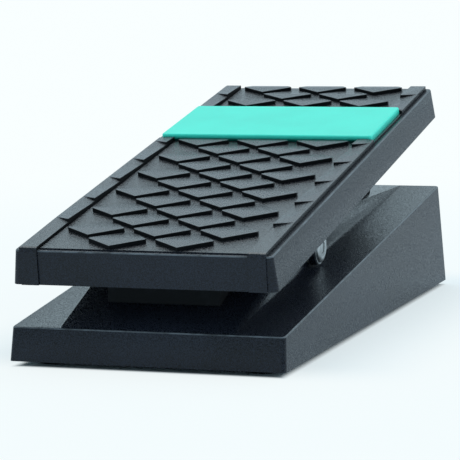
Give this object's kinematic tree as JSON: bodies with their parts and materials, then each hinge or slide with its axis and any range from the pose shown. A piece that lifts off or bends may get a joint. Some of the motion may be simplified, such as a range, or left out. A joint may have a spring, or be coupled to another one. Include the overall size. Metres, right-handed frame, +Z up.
{
  "type": "rocker foot pedal",
  "caption": "Low wedge-shaped rocker foot pedal: scaled treadle on one axle over a tapered base, toothed drive to a potentiometer, foot switch under the toe.",
  "frame": {"origin": "on the floor, under the middle of the pedal's footprint at rest", "axes": "+X to the player's right, +Y from heel to toe, +Z up"},
  "size_m": [0.1018, 0.2476, 0.0875],
  "materials": {
    "casting_black": "fine textured black powder coat over die-cast aluminium",
    "tread_black": "black moulded non-slip tread, fine grain",
    "badge_green": "soft mint green plastic, satin",
    "plate_black": "black painted steel sheet",
    "rubber_black": "matte black rubber",
    "bearing_nylon": "natural nylon",
    "zinc_steel": "bright zinc-plated steel",
    "axle_steel": "ground steel",
    "gear_nylon": "natural nylon",
    "pot_case": "plain pressed can",
    "brass_thread": "plain turned brass",
    "bracket_steel": "plated steel strip",
    "switch_case": "blue moulded switch case",
    "button_chrome": "chromed steel",
    "jack_plastic": "black moulded socket",
    "board_green": "green solder mask",
    "component_dark": "dark component sleeves"
  },
  "bodies": {
    "base": {"base_shell": "casting_black", "bottom_plate": "plate_black", "bottom_screws": "zinc_steel", "rubber_feet": "rubber_black", "pivot_bushings": "bearing_nylon", "potentiometer": "pot_case", "pot_nut": "zinc_steel", "pot_bracket": "bracket_steel", "bracket_screws": "zinc_steel", "toe_switch": "switch_case", "switch_washer": "zinc_steel", "switch_nut": "zinc_steel", "toe_stops": "rubber_black", "heel_stop": "rubber_black", "input_jack": "jack_plastic", "output_jack": "jack_plastic", "jack_washers": "zinc_steel", "jack_nuts": "zinc_steel", "power_jack": "jack_plastic", "power_jack_nut": "jack_plastic", "circuit_board": "board_green", "board_standoffs": "brass_thread", "board_screws": "zinc_steel", "board_components": "component_dark"},
    "rocker": {"treadle": "casting_black", "tread_field": "tread_black", "left_rail": "tread_black", "right_rail": "tread_black", "badge_pad": "badge_green", "striker_pad": "rubber_black", "sector_gear": "gear_nylon", "sector_screws": "zinc_steel", "pivot_axle": "axle_steel", "axle_washers": "zinc_steel", "axle_caps": "zinc_steel"},
    "spindle": {"pot_shaft": "axle_steel", "pinion_gear": "brass_thread"},
    "button": {"switch_button": "button_chrome"}
  },
  "joints": [
    {"name": "treadle_pivot", "type": "hinge", "parent": "base", "child": "rocker", "pos_m": [0, -0.02572, 0.0336], "axis": [1, 0, 0], "range_deg": [-11.5, 8.5]},
    {"name": "pot_turn", "type": "hinge", "parent": "base", "child": "spindle", "pos_m": [0, 0.04122, 0.02892], "axis": [1, 0, 0], "range_deg": [-73, 99]},
    {"name": "button_press", "type": "slide", "parent": "base", "child": "button", "axis": [0, 0, 1], "range_m": [-0.003, 0], "stiffness_N_per_m": 1500, "springref_m": 0.002}
  ],
  "couplings": [
    {"joint": "pot_turn", "follows": "treadle_pivot", "ratio": -8.5714}
  ]
}
